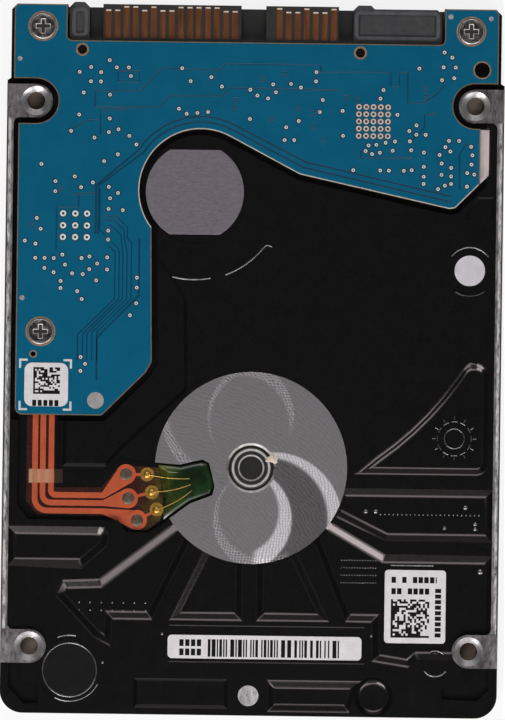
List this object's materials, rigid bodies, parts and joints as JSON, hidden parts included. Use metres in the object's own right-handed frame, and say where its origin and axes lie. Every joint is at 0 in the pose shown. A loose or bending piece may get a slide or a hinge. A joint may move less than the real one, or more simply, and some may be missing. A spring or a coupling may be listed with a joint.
{
  "type": "hard disk drive",
  "caption": "Low flat hard disk drive with a black cast base, blue circuit board, plug connector, spinning platter and swinging head actuator.",
  "frame": {"origin": "middle of the cover label, on the face the drive lies on", "axes": "+X across the drive, +Y along it towards the plug connector, +Z out of the circuit-board side"},
  "size_m": [0.0698, 0.1, 0.007],
  "materials": {
    "base_coat": "satin",
    "steel": "brushed",
    "gasket": "matte",
    "paper": "satin",
    "board": "satin",
    "insulator": "matte",
    "chip": "matte",
    "copper_alloy": "satin",
    "latch_plastic": "satin",
    "connector": "matte",
    "flex": "gloss",
    "tape": "gloss",
    "resin": "gloss",
    "aluminium": "satin",
    "black_film": "matte",
    "slider": "satin",
    "ramp_plastic": "satin",
    "filter": "matte"
  },
  "bodies": {
    "base": {"base_casting": "base_coat", "top_cover": "steel", "cover_gasket": "gasket", "cover_screws": "steel", "cover_label": "paper", "circuit_board": "board", "board_screws": "steel", "board_insulator": "insulator", "controller_chip": "chip", "motor_driver_chip": "chip", "memory_chip": "chip", "flash_chip": "chip", "board_capacitors": "copper_alloy", "motor_contacts": "copper_alloy", "head_connector": "latch_plastic", "sata_connector": "connector", "power_contacts": "copper_alloy", "signal_contacts": "copper_alloy", "motor_flex": "flex", "flex_tape": "tape", "lead_pads": "copper_alloy", "lead_wires": "copper_alloy", "lead_resin": "resin", "pivot_seal": "aluminium", "port_seal": "aluminium", "breather_seal": "black_film", "barcode_label": "paper", "code_label": "paper", "board_label": "paper", "pivot_screw": "steel", "ramp_screw": "steel", "bearing_sleeve": "steel", "thrust_cap": "steel", "stator_core": "steel", "stator_coils": "copper_alloy", "pivot_shaft": "steel", "base_side_yoke": "steel", "cover_side_yoke": "steel", "voice_coil_magnet": "steel", "yoke_posts": "steel", "crash_stops": "gasket", "latch_pin": "steel", "load_ramp": "ramp_plastic", "flex_bracket": "latch_plastic", "arm_flex": "flex", "recirculation_filter": "filter", "breather_filter": "filter"},
    "spindle": {"motor_hub": "aluminium", "spindle_shaft": "steel", "rotor_magnet": "steel", "disk_platter": "aluminium", "disk_clamp": "steel", "clamp_screws": "steel"},
    "actuator": {"actuator_arm": "aluminium", "voice_coil": "copper_alloy", "pivot_sleeve": "aluminium", "pivot_bearings": "steel", "head_suspensions": "steel", "head_sliders": "slider"},
    "latch": {"inertia_latch": "latch_plastic"}
  },
  "joints": [
    {"name": "spindle_spin", "type": "hinge", "parent": "base", "child": "spindle", "pos_m": [0, -0.0152, 0.003], "axis": [0, 0, 1], "continuous": true},
    {"name": "actuator_swing", "type": "hinge", "parent": "base", "child": "actuator", "pos_m": [-0.0084, 0.02345, 0.0028], "axis": [0, 0, 1], "range_deg": [-32, 0], "deforming": ["arm_flex"]},
    {"name": "latch_swing", "type": "hinge", "parent": "base", "child": "latch", "pos_m": [-0.028, 0.01746, 0.0027], "axis": [0, 0, 1], "range_deg": [-10, 0]}
  ]
}
